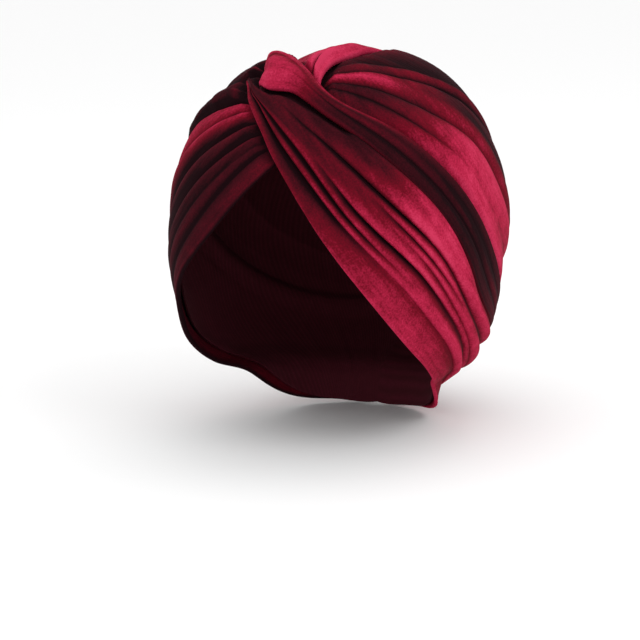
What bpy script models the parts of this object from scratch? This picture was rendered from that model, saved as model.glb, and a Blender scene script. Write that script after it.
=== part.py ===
"""Twist-front velvet turban cap in the form it has on a head.

Metres, +Z up. The wearer faces -Y and +X is the wearer's left. The origin is on the underside of the crown,
where the top of the head bears. Each length of cloth is laid over a head form: its creases lie close to planes
through one slanted line for each side of the head, so a crease is given by an angle at a few named stations.
"""

import math

import bpy
import numpy as np
from mathutils import Vector
from mathutils.bvhtree import BVHTree

MM = 0.001

# Driving dimensions, in metres.
SEAT_HEIGHT = 0.088  # from the middle of the head form up to the underside of the crown
CLOTH = 0.0016  # thickness of the gathered cloth
ROOM = 0.0010  # between a length of cloth and the one laid over it
NEARBY = 0.004  # how far beyond its edge a length of cloth still presses the one under it
SEAM_GAP = 0.0005  # from the centre back to the end of a length of cloth

# The head form: half-lengths from its middle, by elevation in degrees.
HEAD_FORM = (
    # elevation, front, side, back
    (-65, 0.1020, 0.1010, 0.1065),
    (-55, 0.0950, 0.0854, 0.0941),
    (-45, 0.0940, 0.0849, 0.0976),
    (-35, 0.0930, 0.0830, 0.1020),
    (-20, 0.0885, 0.0782, 0.1045),
    (0, 0.0860, 0.0770, 0.1015),
    (15, 0.0860, 0.0780, 0.1000),
    (30, 0.0865, 0.0805, 0.0975),
    (50, 0.0880, 0.0840, 0.0930),
    (70, 0.0885, 0.0865, 0.0895),
    (90, SEAT_HEIGHT, SEAT_HEIGHT, SEAT_HEIGHT),
)
HEAD_SQUARENESS = 2.15  # 2 is an ellipse
ROUND_FROM, ROUND_TO = 40, 90  # elevations between which the crown turns into a plain ellipse

# The slanted line that the crease planes of the left side pass through. The right side mirrors it.
AXIS_TOP = np.array((-0.064, -0.050, 0.114))
AXIS_LOW = np.array((-0.045, 0.028, 0.030))
READ_AT = 0.006  # the height over the head form at which a crease plane meets the cloth

# Stations along a crease, as its bearing in degrees around the crease plane, from the twist to below the ear.
# Behind the ear a crease goes on through a height at AZIMUTH_OF_NAPE and ends at a height on the centre back.
AZIMUTH_OF_NAPE = 150
WRAP_STATIONS = dict(knot=196, rise=189, turn=182, fore=173, brow=161, temple=135, ear=105, lobe=75)
WRAP_PLACES = (0, 0.035, 0.07, 0.12, 0.18, 0.31, 0.47, 0.63, 0.89, 1)
WRAP_LIFTS_AT = (0, 0.10, 0.33, 0.60, 1)
RIGHT_STATIONS = dict(knot=176, turn=170, brow=161, temple=135, ear=105, lobe=75)
RIGHT_PLACES = (0, 0.04, 0.09, 0.24, 0.42, 0.59, 0.88, 1)
FOLD_STATIONS = dict(tip=190, petal=183, neck=175, waist=167, brow=157, temple=135, ear=105, lobe=75)
FOLD_PLACES = (0, 0.035, 0.08, 0.12, 0.175, 0.29, 0.45, 0.61, 0.89, 1)
FOLD_LIFTS_AT = (0, 0.035, 0.125, 0.33, 0.60, 1)
CROWN_STATIONS = dict(front=150, top=120, side=90, rear=60)
CROWN_PLACES = (0, 0.12, 0.30, 0.47, 0.63, 0.87, 1)
CROWN_LIFTS_AT = (0, 0.12, 0.50, 1)
LOOP_PLACES = (0, 0.05, 0.12, 0.20, 0.33, 0.50, 0.68, 0.86, 1)
LOOP_LIFTS_AT = (0, 0.08, 0.25, 0.50, 1)


def table(columns, rows):
    """Rows of plain values as dictionaries with the named columns."""
    return [dict(zip(columns, row)) for row in rows]


# angles: the crease plane at each station, in degrees, or the plane and a bearing of its own in place of the
# station's. nape and seam: its heights behind the ear and on the
# centre back, in mm from the middle of the head form. top: the height of the cloth over the head form in mm,
# and cut: how deep the crease on this line goes into it, at the piece's lift stations.
CREASE_COLUMNS = ("line", "angles", "nape", "seam", "top", "cut")
LEFT_WRAP = table(CREASE_COLUMNS, (
    ("hem", (25, 37, 42, 45, 47, 47, 45, 44.5), -91, -91, (9.0, 8.8, 6.0, 5.6, 4.8), (1.0, 1.4, 1.4, 0.2, 0)),
    ("hem crease", (24, 34, 38, 40, 41.3, 42, 39, 39), -80, -80, (8.8, 9.0, 7.6, 7.2, 6.0), (0.4, 1.6, 2.8, 2.0, 0.8)),
    ("ridge crease", (23, 31, 34, 36, 37.5, 37.4, 36, 36.3), -74, -74, (8.8, 9.0, 8.2, 8.0, 6.2), (0.2, 2.2, 3.6, 3.8, 2)),
    ("ear crease", (22.5, 29, 31, 33, 34, 34, 33.5, 34), -69, -68, (8.6, 9.0, 8.8, 8.0, 6.4), (0, 0.2, 0.4, 2.6, 2)),
    ("band crease", (22, 27, 28.5, 30, 31.2, 30.4, 30.4, 30.8), -64, -62, (8.4, 8.8, 9.2, 8.0, 6.4), (0, 0.8, 2.8, 3.2, 2)),
    ("upper edge", (21, 24.5, 25.5, 22.5, 23.5, 24, 23.6, 25.8), -58, -56, (7.4, 7.6, 8.6, 7.2, 5.4), (0.6, 1.2, 3.8, 2.8, 1.2)),
))
OVERFOLD = table(CREASE_COLUMNS, (
    ("lower edge", ((25.5, 189), 27.5, 23.2, 24.2, 24.6, 23.5, 23.1, 25.3), -57.5, -55.5,
     (12.0, 13.8, 13.4, 7.8, 6.8, 5.2), (2.0, 2.6, 2.4, 3.0, 2.2, 1.0)),
    ("middle", ((10, 187), (8, 182), 12.5, 18.7, 21, 19.4, 18.6, 20), -52, -50.5,
     (12.6, 17.6, 15.4, 8.6, 7.4, 6.0), (0, 0, 0, 0.4, 0.6, 0.2)),
    ("upper edge", ((-8, 183), (-15, 178.5), (2, 174), 13.2, 17.2, 14.8, 14, 15), -47, -46,
     (12.0, 15.0, 12.4, 7.8, 6.8, 5.2), (2.0, 2.0, 2.0, 3.0, 2.2, 1.0)),
))
RIGHT_WRAP = table(CREASE_COLUMNS, (
    ("hem", (46.5, 47.5, 49, 48.6, 45, 44.5), -91, -91, (4.4, 4.4, 4.8, 5.6, 4.8), (0, 0, 0.2, 0.2, 0)),
    ("hem crease", (43, 43.5, 44.3, 43.6, 41, 40.5), -80, -80, (4.6, 4.8, 6.4, 7.0, 6.0), (0.2, 0.6, 2.0, 1.8, 0.8)),
    ("third pleat", (40, 40, 40, 39, 37.5, 37.3), -73, -73, (4.6, 5.0, 6.6, 7.2, 6.0), (0.2, 0.8, 2.4, 2.4, 2)),
    ("second pleat", (37, 36.5, 35.8, 34.8, 33.5, 33.6), -67, -66, (4.6, 5.0, 6.8, 7.4, 6.2), (0.2, 0.8, 2.4, 2.6, 2)),
    ("first pleat", (34.5, 33.3, 31, 29.5, 29.5, 29.5), -61, -59, (4.6, 5.2, 7.2, 7.6, 6.2), (0.2, 0.8, 2.6, 2.8, 2)),
    ("bright pleat", (31.5, 29.5, 25.5, 22.5, 22.5, 23.5), -54, -52, (4.6, 5.4, 7.4, 7.6, 6.0), (0.2, 0.8, 2.8, 2.8, 2)),
    ("upper edge", (28.5, 25.5, 19.5, 14.5, 14.5, 16), -47, -46, (4.4, 4.8, 6.8, 6.8, 5.2), (0.2, 0.6, 2.2, 2.2, 1.0)),
))
CROWN_CAP = table(CREASE_COLUMNS, (
    ("rim", (42, 42, 41, 42.5), -93, -94, (1.6, 1.6, 1.6, 1.6), (0, 0, 0, 0)),
    ("nape bend", (31, 32, 32, 33), -73.5, -73.5, (1.6, 1.6, 1.6, 1.6), (0, 0, 0, 0)),
    ("band edge", (15, 12.6, 12.4, 13.6), -45.5, -45, (6.0, 4.6, 3.8, 3.4), (0, 0, 0, 0)),
    ("crescent", (9, 6, 6, 6), -38, -42.5, (7.0, 8.2, 8.0, 4.0), (0, 0, 0, 0)),
    ("crescent edge", (3, 0, -2, -2), -30, -40, (7.0, 8.4, 8.0, 4.4), (0, 2.6, 2.8, 0.4)),
    ("crown fold", (-7, -11, -14, -16), -16, -38, (7.0, 8.4, 7.4, 4.6), (0, 2.0, 1.6, 0.4)),
))
# The crown's middle line: azimuth and elevation at the crown stations and behind the crown.
MIDLINE = dict(
    places=((0, 84), (180, 62), (180, 38), (180, 16), (180, -8)),
    seam=-36, top=(7.0, 8.0, 6.8, 4.8), cut=(0, 1.6, 1.0, 0.2),
)
KNOT = (4, 62)  # azimuth and elevation of the point under the twist where the crown's folds start
KNOT_RADIUS = 5 * MM
KNOT_OPENING = 80  # degrees of the arc around it that stay open, towards the forehead

# The loop behind the twist. places: azimuth and elevation, from under the twist over the crown to the back.
LOOP_COLUMNS = ("line", "places", "seam", "top", "cut")
REAR_LOOP = table(LOOP_COLUMNS, (
    ("left edge", ((14, 57), (14, 66), (18, 74), (70, 82), (150, 73), (162, 52), (170, 24), (175, -2)), -37,
     (7.0, 10.5, 10.4, 9.2, 6.0), (0.6, 1.6, 1.6, 1.4, 0.6)),
    ("first crease", ((1, 58), (1, 69), (-3, 78), (-110, 85), (-165, 70), (-172, 48), (-175, 20), (-177, -4)), -39,
     (8.0, 13.6, 12.0, 10.0, 6.6), (0.6, 2.6, 2.4, 1.8, 0.6)),
    ("second crease", ((-4, 58), (-9, 68), (-24, 76), (-97, 77), (-145, 64), (-158, 44), (-166, 17), (-170, -5)),
     -41, (8.0, 11.6, 11.4, 9.8, 6.4), (0.4, 2.0, 2.2, 1.8, 0.6)),
    ("right edge", ((-9, 57), (-16, 66), (-40, 71), (-88, 66), (-124, 51), (-143, 35), (-156, 10), (-163, -8)), -44,
     (6.6, 9.6, 9.8, 9.2, 6.0), (0.4, 1.4, 1.6, 1.4, 0.6)),
))
CREASE_POWER = 3  # how sharply a crease is cut: higher is narrower


def curve_through(places, values, at):
    """A smooth curve through values at places, read at the places in at. Values may be numbers or vectors."""
    places = np.asarray(places, float)
    values = np.asarray(values, float)
    slopes = np.gradient(values, places, axis=0)
    piece = np.clip(np.searchsorted(places, at, side="right") - 1, 0, len(places) - 2)
    span = places[piece + 1] - places[piece]
    t = (at - places[piece]) / span
    if values.ndim > 1:
        t = t[..., None]
        span = span[..., None]
    return (
        (2 * t**3 - 3 * t**2 + 1) * values[piece]
        + (t**3 - 2 * t**2 + t) * span * slopes[piece]
        + (3 * t**2 - 2 * t**3) * values[piece + 1]
        + (t**3 - t**2) * span * slopes[piece + 1]
    )


def smooth_step(low, high, value):
    t = np.clip((value - low) / (high - low), 0, 1)
    return t * t * (3 - 2 * t)


def direction(azimuth, elevation):
    """The unit vector at an azimuth from the front towards the wearer's left and an elevation, in degrees."""
    azimuth, elevation = np.radians(azimuth), np.radians(elevation)
    return np.stack(
        np.broadcast_arrays(
            np.sin(azimuth) * np.cos(elevation), -np.cos(azimuth) * np.cos(elevation), np.sin(elevation)
        ),
        axis=-1,
    )


def unit(vectors):
    return vectors / np.linalg.norm(vectors, axis=-1, keepdims=True)


def head_radius(towards):
    """How far the head form's surface lies from its middle, for unit vectors."""
    elevation = np.degrees(np.arcsin(np.clip(towards[..., 2], -1, 1)))
    across, ahead = towards[..., 0], towards[..., 1]
    level = np.maximum(np.hypot(across, ahead), 1e-9)
    across, ahead = np.abs(across) / level, ahead / level
    rows = np.array(HEAD_FORM)
    front, side, back = (curve_through(rows[:, 0], rows[:, i], elevation) for i in (1, 2, 3))
    length = np.where(ahead < 0, front, back)
    ahead = np.abs(ahead)
    squared = ((across / side) ** HEAD_SQUARENESS + (ahead / length) ** HEAD_SQUARENESS) ** (-1 / HEAD_SQUARENESS)
    plain = ((across / side) ** 2 + (ahead / length) ** 2) ** -0.5
    share = smooth_step(ROUND_FROM, ROUND_TO, elevation)
    return squared + (plain - squared) * share


def laid(towards, lift):
    """Points that lie at a height above the head form, in the object's own frame."""
    points = towards * (head_radius(towards) + lift)[..., None]
    return points - np.array((0.0, 0.0, SEAT_HEIGHT))


def on_crease_plane(angle, bearing, side):
    """The direction, from the middle of the head form, of a bearing on the crease plane at an angle."""
    along = unit(AXIS_LOW - AXIS_TOP)
    middle = (AXIS_TOP + AXIS_LOW) / 2
    first = unit(np.array((1.0, 0.0, 0.0)) - along * along[0])
    second = np.cross(along, first)
    angle, bearing = np.radians(angle), np.radians(bearing)
    outward = math.cos(angle) * first + math.sin(angle) * second
    normal = np.cross(along, outward)
    start = normal * (normal @ middle)
    ray = math.cos(bearing) * along + math.sin(bearing) * outward
    near, far = 0.0, 0.25
    for _ in range(40):
        reach = (near + far) / 2
        point = start + reach * ray
        if np.linalg.norm(point) < head_radius(unit(point)) + READ_AT:
            near = reach
        else:
            far = reach
    return unit(start + near * ray) * np.array((side, 1, 1))


def at_height(azimuth, height, side):
    """The direction of a point of the head form at an azimuth on one side, at a height in mm from its middle."""
    low, high = -75.0, 60.0
    for _ in range(40):
        elevation = (low + high) / 2
        towards = direction(side * azimuth, elevation)
        if head_radius(towards) * towards[2] < height * MM:
            low = elevation
        else:
            high = elevation
    return direction(side * azimuth, low)


def on_centre_back(height, side):
    """The direction of the end of a line on the centre back. A side of 0 is the very middle."""
    towards = at_height(180, height, 1)
    towards[0] = side * SEAM_GAP / head_radius(towards)
    return unit(towards)


def in_between(values, count):
    """The first count values with two more read smoothly between each pair of them."""
    at = np.linspace(0, count - 1, 3 * count - 2)
    return curve_through(np.arange(count), values[:count], at)


def crease_line(row, stations, side):
    """The directions of a crease line at its stations and between them, the last of them on the centre back."""
    count = len(row["angles"])
    points = [
        (angle, bearing) if np.isscalar(angle) else angle for angle, bearing in zip(row["angles"], stations.values())
    ]
    angles, bearings = in_between(np.array(points, float), count).T
    return (
        [on_crease_plane(angle, bearing, side) for angle, bearing in zip(angles, bearings)]
        + [at_height(AZIMUTH_OF_NAPE, row["nape"], side)]
        + [on_centre_back(row["seam"], side)]
    )


def crease_places(stations, places):
    """The places along a crease line of all the directions that crease_line gives."""
    count = len(stations)
    return np.concatenate([in_between(places, count), places[count:]])


def around_knot(place):
    """A point of the arc under the twist where the crown's folds start: 0 is its left end and 1 its right end."""
    middle = direction(*KNOT)
    left = np.cross(np.array((0.0, 0.0, 1.0)), middle)
    left = -unit(left) if left[0] < 0 else unit(left)
    back = np.cross(middle, left)
    back = -back if back[1] < 0 else back
    start = (KNOT_OPENING - 180) / 2
    turn = math.radians(start + (360 - KNOT_OPENING) * place)
    return unit(middle + (math.cos(turn) * left + math.sin(turn) * back) * KNOT_RADIUS / SEAT_HEIGHT)


def spread(lines, rows, places, lifts_at, across, along):
    """Directions and heights of a length of cloth.

    lines holds each crease line's directions at the places. across is the number of steps between two
    lines, and along the number from end to end.
    """
    v = np.linspace(0, 1, along + 1)
    paths = np.array([curve_through(places, np.array(line), v) for line in lines])
    top = np.array([curve_through(lifts_at, row["top"], v) for row in rows]) * MM
    cut = np.array([curve_through(lifts_at, row["cut"], v) for row in rows]) * MM
    count = len(lines) - 1
    towards, lifts = [], []
    for step in range(count * across + 1):
        line = min(step // across, count - 1)
        s = step / across - line
        towards.append(unit(paths[line] * (1 - s) + paths[line + 1] * s))
        smooth_top = curve_through(np.arange(count + 1), top, np.full(1, step / across))[0]
        lifts.append(smooth_top - cut[line] * (1 - s) ** CREASE_POWER - cut[line + 1] * s**CREASE_POWER)
    return np.array(towards), np.array(lifts)


def near(values, reach, choose):
    """The chosen value, such as the least, of each value and its neighbours up to reach steps away on the grid."""
    rows, columns = values.shape
    padded = np.pad(values, reach, mode="edge")
    shifts = range(2 * reach + 1)
    return choose([padded[i : i + rows, j : j + columns] for i in shifts for j in shifts], axis=0)


def pressed_under(towards, lifts, covers, least):
    """The heights of a length of cloth once the covers laid over it have pressed it down."""
    middle = Vector((0, 0, -SEAT_HEIGHT))
    room = np.full(lifts.shape, 1.0)
    turns = np.radians(np.arange(0, 360, 45))
    aside = [(0.0, 0.0)] + [(math.cos(turn), math.sin(turn)) for turn in turns]
    for cover in covers:
        corners = [vertex.co for vertex in cover.data.vertices]
        tree = BVHTree.FromPolygons(corners, [face.vertices for face in cover.data.polygons])
        for east, up in aside:
            for place in np.ndindex(lifts.shape):
                x, y, z = towards[place]
                eastward, upward = np.array((-y, x, 0.0)), np.array((-x * z, -y * z, x * x + y * y))
                aim = unit(towards[place] + (east * unit(eastward) + up * unit(upward)) * NEARBY / SEAT_HEIGHT)
                distance = tree.ray_cast(middle, Vector(aim))[3]
                if distance is not None:
                    room[place] = min(room[place], distance - head_radius(aim) - ROOM)
    press = lifts - np.minimum(lifts, near(room, 1, np.min))
    return np.maximum(np.minimum(lifts - near(press, 1, np.mean), near(room, 1, np.min)), least)


def cloth_mesh(name, towards, lifts, inner_lifts, sewn_end=False):
    """A closed wall of cloth between an outer sheet and an inner one, joined along its edges.

    With sewn_end, the last edge is folded on its middle and its two halves are one seam.
    """
    rows, columns = lifts.shape
    vertices = np.concatenate([laid(towards, lifts).reshape(-1, 3), laid(towards, inner_lifts).reshape(-1, 3)])
    outer = np.arange(rows * columns).reshape(rows, columns)
    if sewn_end:
        outer[rows // 2 + 1 :, -1] = outer[rows // 2 - 1 :: -1, -1][: rows - rows // 2 - 1]
    inner = outer + rows * columns
    faces = []
    for i in range(rows - 1):
        for j in range(columns - 1):
            faces.append((outer[i, j], outer[i, j + 1], outer[i + 1, j + 1], outer[i + 1, j]))
            faces.append((inner[i, j], inner[i + 1, j], inner[i + 1, j + 1], inner[i, j + 1]))
    ends = [outer[0], outer[:, -1], outer[-1, ::-1], outer[::-1, 0]]
    if sewn_end:
        ends.pop(1)
    for end in ends:
        for a, b in zip(end, end[1:]):
            faces.append((b, a, a + rows * columns, b + rows * columns))
    used = sorted({int(i) for face in faces for i in face})
    renumber = {old: new for new, old in enumerate(used)}
    mesh = bpy.data.meshes.new(name)
    mesh.from_pydata([tuple(vertices[i]) for i in used], [], [tuple(renumber[int(i)] for i in f) for f in faces])
    corners = vertices[np.array(faces)]
    volume = np.einsum("ij,ij->i", corners[:, 0], np.cross(corners[:, 1], corners[:, 2])).sum()
    volume += np.einsum("ij,ij->i", corners[:, 0], np.cross(corners[:, 2], corners[:, 3])).sum()
    if volume < 0:
        mesh.flip_normals()
    mesh.shade_smooth()
    return mesh


def velvet(name, colour):
    """Crushed velvet: rough, with a soft sheen at grazing angles."""
    material = bpy.data.materials.new(name)
    material.use_nodes = True
    shader = material.node_tree.nodes["Principled BSDF"]
    shader.inputs["Base Color"].default_value = (*colour, 1.0)
    shader.inputs["Roughness"].default_value = 0.75
    shader.inputs["Metallic"].default_value = 0.0
    shader.inputs["Sheen Weight"].default_value = 0.6
    return material


def add_piece(name, mesh, colour):
    piece = bpy.data.objects.new(name, mesh)
    mesh.materials.append(velvet(name + "_velvet", colour))
    bpy.context.scene.collection.objects.link(piece)
    return piece


def length_of_cloth(name, rows, lines, places, lifts_at, across, along, covers, colour):
    """One length of cloth, from the twist to the centre back, under the covers already laid."""
    towards, lifts = spread(lines, rows, places, lifts_at, across, along)
    lifts = pressed_under(towards, lifts, covers, 2 * CLOTH + ROOM)
    return add_piece(name, cloth_mesh(name, towards, lifts, lifts - CLOTH), colour)


def middle_line(places):
    """The directions of the crown's middle line over the top of the head, with two more between each pair."""
    tops = [elevation if azimuth == 0 else 180 - elevation for azimuth, elevation in places[:-1]]
    tops = in_between(tops, len(tops))
    azimuth, elevation = places[-1]
    return [direction(0, top) for top in tops] + [direction(azimuth, elevation)]


def crown_cap(covers, colour):
    """The gathered cap: from the left rim over the crown to the right rim, and from the twist to the nape."""
    count = 2 * len(CROWN_CAP)
    rows = CROWN_CAP + [MIDLINE] + CROWN_CAP[::-1]
    lines = []
    for i, row in enumerate(rows):
        if row is MIDLINE:
            line = middle_line(row["places"]) + [on_centre_back(row["seam"], 0)]
        else:
            line = crease_line(row, CROWN_STATIONS, 1 if i < count / 2 else -1)
            line[-1] = on_centre_back(row["seam"], 0)
        lines.append([around_knot(i / count)] + line)
    places = np.insert(crease_places(CROWN_STATIONS, CROWN_PLACES[1:]), 0, 0)
    towards, lifts = spread(lines, rows, places, CROWN_LIFTS_AT, 3, 24)
    lifts = pressed_under(towards, lifts, covers, CLOTH)
    return add_piece("crown_cap", cloth_mesh("crown_cap", towards, lifts, lifts - CLOTH, sewn_end=True), colour)


def main():
    for old in list(bpy.data.objects):
        bpy.data.objects.remove(old)
    crimson, raspberry, maroon = (0.23, 0.008, 0.035), (0.45, 0.03, 0.10), (0.07, 0.004, 0.014)
    over = [crease_line(row, FOLD_STATIONS, 1) for row in OVERFOLD]
    left = [crease_line(row, WRAP_STATIONS, 1) for row in LEFT_WRAP]
    right = [crease_line(row, RIGHT_STATIONS, -1) for row in RIGHT_WRAP]
    loop = [[direction(*place) for place in row["places"]] + [on_centre_back(row["seam"], -1)] for row in REAR_LOOP]
    fold_places = crease_places(FOLD_STATIONS, FOLD_PLACES)
    left_places = crease_places(WRAP_STATIONS, WRAP_PLACES)
    right_places = crease_places(RIGHT_STATIONS, RIGHT_PLACES)
    covers = []
    for name, rows, lines, places, lifts_at, across, along, colour in (
        ("twist_overfold", OVERFOLD, over, fold_places, FOLD_LIFTS_AT, 4, 30, raspberry),
        ("left_wrap", LEFT_WRAP, left, left_places, WRAP_LIFTS_AT, 3, 30, crimson),
        ("right_wrap", RIGHT_WRAP, right, right_places, WRAP_LIFTS_AT, 3, 26, crimson),
        ("rear_loop", REAR_LOOP, loop, LOOP_PLACES, LOOP_LIFTS_AT, 4, 22, raspberry),
    ):
        covers.append(length_of_cloth(name, rows, lines, places, lifts_at, across, along, covers, colour))
    crown_cap(covers, maroon)


if __name__ == "__main__":
    main()
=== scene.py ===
"""Twist-front velvet turban cap: the cloth, its finishes and the studio around it.

Metres, +Z up. The wearer faces -Y and +X is the wearer's left. The origin is on the underside of the crown.
Each length of cloth is laid over the same head form as its solid: its creases lie close to planes through one
slanted line for each side of the head, so a crease is given by an angle at a few named stations.
"""

import math

import bpy
import numpy as np
from mathutils import Matrix, Vector
from mathutils.bvhtree import BVHTree


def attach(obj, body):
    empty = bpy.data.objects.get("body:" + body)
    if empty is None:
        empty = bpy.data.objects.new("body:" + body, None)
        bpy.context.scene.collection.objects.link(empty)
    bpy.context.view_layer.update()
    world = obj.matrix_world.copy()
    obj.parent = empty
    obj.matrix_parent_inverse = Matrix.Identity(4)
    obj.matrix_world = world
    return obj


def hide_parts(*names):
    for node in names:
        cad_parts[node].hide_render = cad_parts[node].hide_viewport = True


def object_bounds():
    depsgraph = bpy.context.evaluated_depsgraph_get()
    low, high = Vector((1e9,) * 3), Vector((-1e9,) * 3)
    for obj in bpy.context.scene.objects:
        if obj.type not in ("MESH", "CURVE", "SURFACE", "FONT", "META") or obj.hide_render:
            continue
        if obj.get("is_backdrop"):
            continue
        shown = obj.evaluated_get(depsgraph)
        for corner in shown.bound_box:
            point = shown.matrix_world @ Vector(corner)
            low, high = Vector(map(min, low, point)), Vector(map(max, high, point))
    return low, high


bl_info = {
    "name": "Twist-front velvet turban cap",
    "version": (1, 0, 0),
    "blender": (4, 5, 0),
    "location": "3D View > Sidebar > Turban",
    "description": "Lays, pleats and finishes the lengths of velvet of a twist-front turban cap",
    "category": "Object",
}

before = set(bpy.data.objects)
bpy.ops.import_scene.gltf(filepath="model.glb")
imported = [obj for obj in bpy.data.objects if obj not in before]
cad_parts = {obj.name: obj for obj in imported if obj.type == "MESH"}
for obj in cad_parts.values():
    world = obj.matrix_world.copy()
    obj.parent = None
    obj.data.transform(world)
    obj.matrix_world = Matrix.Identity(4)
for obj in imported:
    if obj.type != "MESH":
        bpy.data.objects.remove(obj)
CAD_BOX = [list(corner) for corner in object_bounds()]

MM = 0.001

# The head form and the creases' slanted line, as in the frame.
SEAT_HEIGHT = 0.088
MIDDLE = np.array((0.0, 0.0, -SEAT_HEIGHT))
HEAD_FORM = (
    # elevation, front, side, back
    (-65, 0.1020, 0.1010, 0.1065),
    (-55, 0.0950, 0.0854, 0.0941),
    (-45, 0.0940, 0.0849, 0.0976),
    (-35, 0.0930, 0.0830, 0.1020),
    (-20, 0.0885, 0.0782, 0.1045),
    (0, 0.0860, 0.0770, 0.1015),
    (15, 0.0860, 0.0780, 0.1000),
    (30, 0.0865, 0.0805, 0.0975),
    (50, 0.0880, 0.0840, 0.0930),
    (70, 0.0885, 0.0865, 0.0895),
    (90, SEAT_HEIGHT, SEAT_HEIGHT, SEAT_HEIGHT),
)
HEAD_SQUARENESS = 2.15  # 2 is an ellipse
ROUND_FROM, ROUND_TO = 40, 90  # elevations between which the crown turns into a plain ellipse
AXIS_TOP = np.array((-0.064, -0.050, 0.114))
AXIS_LOW = np.array((-0.045, 0.028, 0.030))
READ_AT = 0.006  # the height over the head form at which a crease plane meets the cloth
HALVINGS = 24  # the times that a stretch is halved to find where a line meets the head form

CLOTH_RADIUS = 0.094  # from the middle of the head form to the cloth, on average
LEAST_ROWS = 6  # from one crease line to the next
CROWN_COARSENESS = 1.5  # the crown's mesh spacing, as a share of the other pieces'
LEAST_HEIGHT = 1.4 * MM  # the lowest that a pressed or rolled edge lies over the head form
LIP_REACH = 1.3 * MM  # from a crease to where the fold beside it hangs over most
LIP_ROOM = 7 * MM  # the width between two creases below which their folds hang over less
PRESS_REACH = 0.6 * MM  # how far beside a point a cover still presses it
NO_COVER = 1.0  # a limit, in metres, that no cloth reaches
LEAST_ROLL = 0.2 * MM
# Painted shade: cloth that is pressed under other cloth further than this gets a darker pile colour.
UNSHADED = 0.8 * MM  # how far cloth is pressed down before its pile looks darker
CREST_REACH = 4  # the rows on each side from which a ridge is seen to stand up
CREST_MOST = 1.5  # mm that a ridge or a hollow counts for at most
DARKEST, LIGHTEST = -0.4, 1.1  # the pile's lightness is kept between them
SEAM_REACH = 3.0 * MM  # how far from the centre back the cloth starts to sink into the seam
SEAM_DEPTH = 0.5 * MM
ROLL_FROM, ROLL_TO = 22, 168  # the first and last row of a rolled edge, in degrees round the roll
ROLL_STEPS, HEM_STEPS = 8, 5  # rows of points round a roll, and across the width turned in behind it
# In widths of a fine wrinkle: its length, that of the narrow ones between, and the size of a broad wave.
WRINKLE_LENGTH, NARROW_LENGTH = 11, 7
WAVE_WIDTH, WAVE_LENGTH = 3.2, 9

# Stations along a crease, as its bearing in degrees around the crease plane, from the twist to below the ear.
# Behind the ear a crease goes on through a height at AZIMUTH_OF_NAPE and ends at a height on the centre back.
AZIMUTH_OF_NAPE = 150
WRAP_STATIONS = dict(knot=196, rise=189, turn=182, fore=173, brow=161, temple=135, ear=105, lobe=75)
WRAP_PLACES = (0, 0.035, 0.07, 0.12, 0.18, 0.31, 0.47, 0.63, 0.89, 1)
RIGHT_STATIONS = dict(knot=176, turn=170, brow=161, temple=135, ear=105, lobe=75)
RIGHT_PLACES = (0, 0.04, 0.09, 0.24, 0.42, 0.59, 0.88, 1)
FOLD_STATIONS = dict(tip=190, petal=183, neck=175, waist=167, brow=157, temple=135, ear=105, lobe=75)
FOLD_PLACES = (0, 0.035, 0.08, 0.12, 0.175, 0.29, 0.45, 0.61, 0.89, 1)
CROWN_STATIONS = dict(front=150, top=120, side=90, rear=60)
CROWN_PLACES = (0, 0.12, 0.30, 0.47, 0.63, 0.87, 1)
LOOP_PLACES = (0, 0.05, 0.12, 0.20, 0.33, 0.50, 0.68, 0.86, 1)

# Where along a length of cloth the values of its tables stand, from the twist, 0, to the centre back, 1.
LEFT_AT = (0, 0.07, 0.21, 0.31, 0.40, 0.47, 0.63, 1)
RIGHT_AT = (0, 0.09, 0.24, 0.42, 0.60, 1)
FOLD_AT = (0, 0.035, 0.08, 0.125, 0.20, 0.32, 0.60, 1)
CROWN_AT = (0, 0.12, 0.22, 0.34, 0.50, 0.70, 1)
LOOP_AT = (0, 0.08, 0.18, 0.35, 0.60, 1)


def table(columns, rows):
    """Rows of plain values as dictionaries with the named columns."""
    return [dict(zip(columns, row)) for row in rows]
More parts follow.
